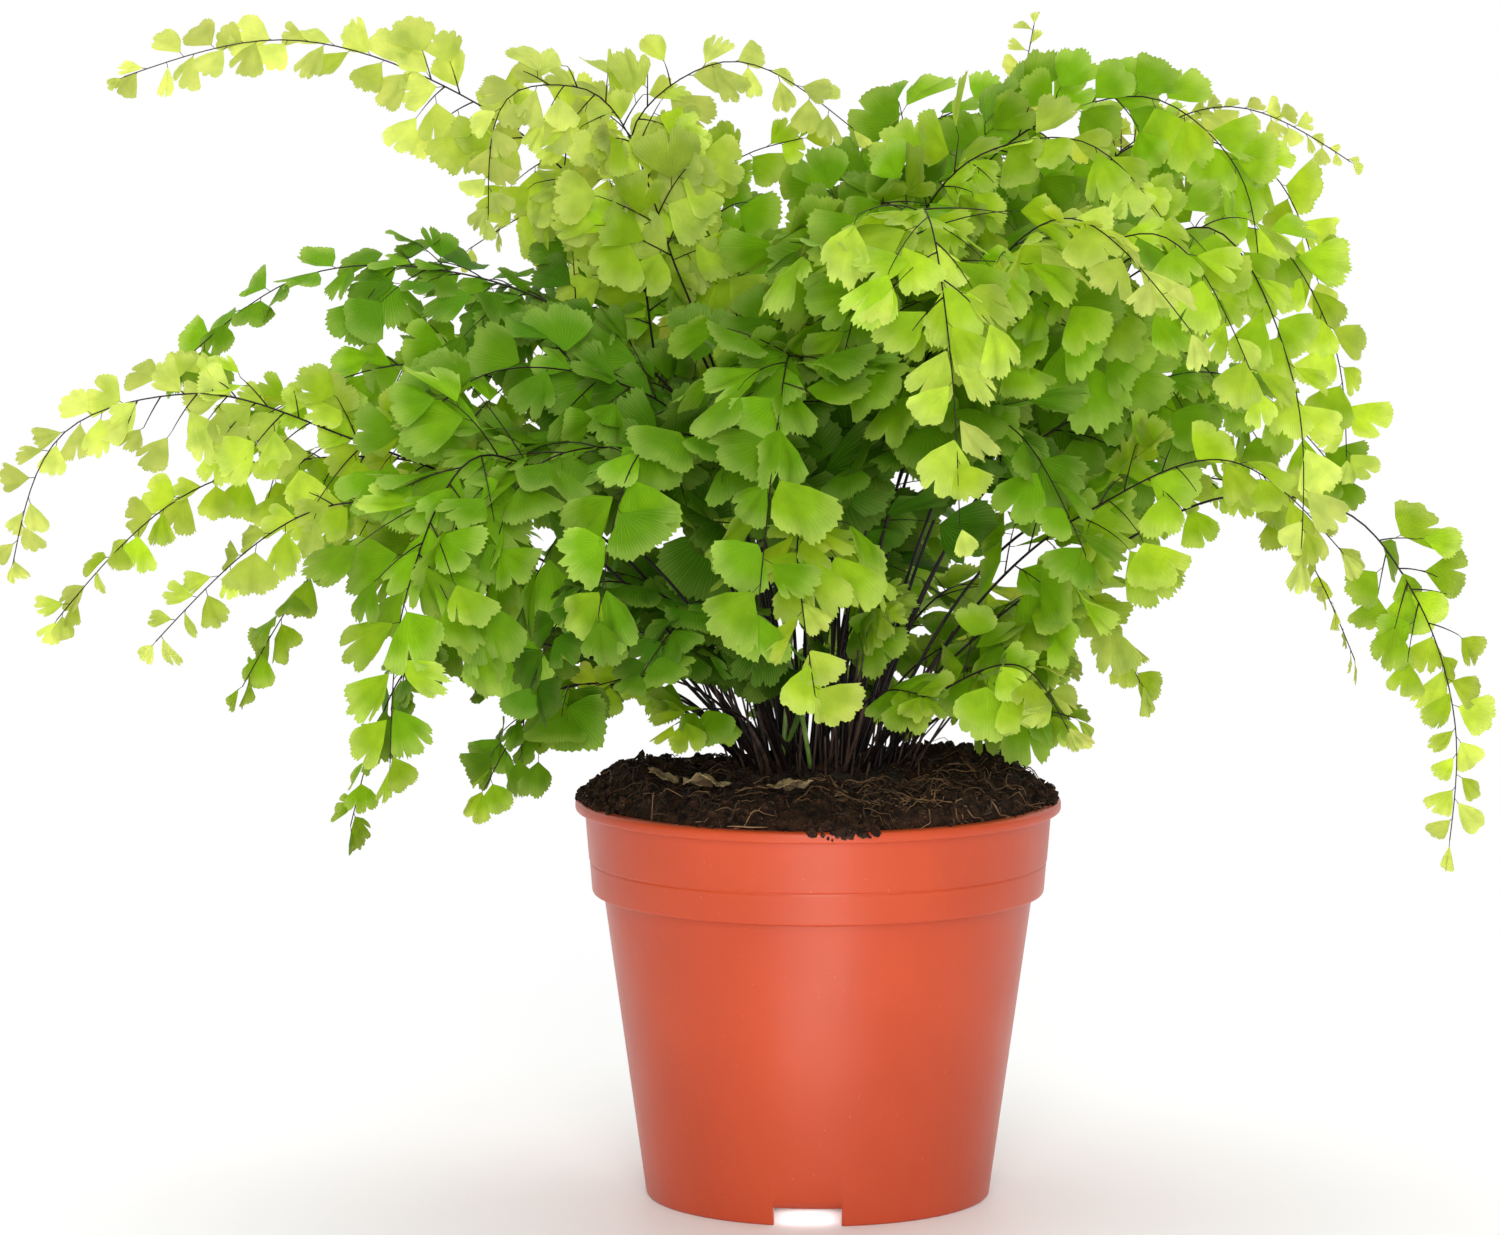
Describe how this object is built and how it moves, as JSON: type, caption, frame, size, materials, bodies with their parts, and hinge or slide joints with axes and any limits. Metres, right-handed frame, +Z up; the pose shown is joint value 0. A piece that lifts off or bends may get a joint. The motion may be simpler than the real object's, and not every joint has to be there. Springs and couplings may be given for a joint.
{
  "type": "potted maidenhair fern",
  "caption": "Maidenhair fern with wiry dark stalks and fan-shaped leaflets, growing in peat in a round plastic nursery pot with a tall collar.",
  "frame": {"origin": "middle of the pot's foot, on the surface that the pot stands on", "axes": "+Z up along the pot's axis, +X to the right across the plant's widest spread, -Y to the front"},
  "size_m": [0.3743, 0.2495, 0.296],
  "materials": {
    "pot_plastic": "moulded, semi-gloss terracotta colour",
    "peat": "matte, crumbly dark peat with fine roots",
    "rhizome_scales": "matte dark scales",
    "foliage_young": "thin translucent leaf, satin, yellow-green",
    "foliage_mid": "thin translucent leaf, satin, fresh green",
    "foliage_old": "thin translucent leaf, satin, dark green",
    "stalk_black": "wiry frond stalk, near-black, glossy",
    "young_stalk": "fresh green stalk, satin",
    "dry_stalk": "dry brown stalk, matte",
    "withered_leaf": "dry curled leaflet, matte"
  },
  "bodies": {
    "root": {"crozier_high": "young_stalk", "crozier_low": "young_stalk", "dry_stalk_1": "dry_stalk", "dry_stalk_2": "dry_stalk", "frond_back_1": "foliage_old", "frond_back_2": "foliage_mid", "frond_back_3": "foliage_old", "frond_back_4": "foliage_mid", "frond_back_5": "foliage_old", "frond_back_6": "foliage_mid", "frond_back_7": "foliage_old", "frond_back_8": "foliage_old", "frond_front_1": "foliage_old", "frond_front_10": "foliage_old", "frond_front_11": "foliage_mid", "frond_front_12": "foliage_old", "frond_front_2": "foliage_young", "frond_front_3": "foliage_young", "frond_front_4": "foliage_mid", "frond_front_5": "foliage_young", "frond_front_6": "foliage_old", "frond_front_7": "foliage_old", "frond_front_9": "foliage_old", "frond_left_1": "foliage_young", "frond_left_10": "foliage_mid", "frond_left_2": "foliage_old", "frond_left_3": "foliage_old", "frond_left_4": "foliage_young", "frond_left_5": "foliage_young", "frond_left_6": "foliage_young", "frond_left_7": "foliage_mid", "frond_left_8": "foliage_mid", "frond_left_9": "foliage_mid", "frond_right_1": "foliage_mid", "frond_right_10": "foliage_mid", "frond_right_2": "foliage_mid", "frond_right_3": "foliage_young", "frond_right_4": "foliage_old", "frond_right_5": "foliage_old", "frond_right_6": "foliage_old", "frond_right_7": "foliage_mid", "frond_right_8": "foliage_mid", "frond_right_9": "foliage_old", "frond_top_1": "foliage_young", "frond_top_10": "foliage_mid", "frond_top_11": "foliage_mid", "frond_top_2": "foliage_young", "frond_top_3": "foliage_mid", "frond_top_4": "foliage_young", "frond_top_5": "foliage_mid", "frond_top_6": "foliage_mid", "frond_top_7": "foliage_young", "frond_top_8": "foliage_young", "frond_top_9": "foliage_mid", "pot": "pot_plastic", "rhizome": "rhizome_scales", "soil": "peat", "withered_leaf_1": "withered_leaf", "withered_leaf_2": "withered_leaf", "withered_leaf_3": "withered_leaf"}
  },
  "joints": []
}
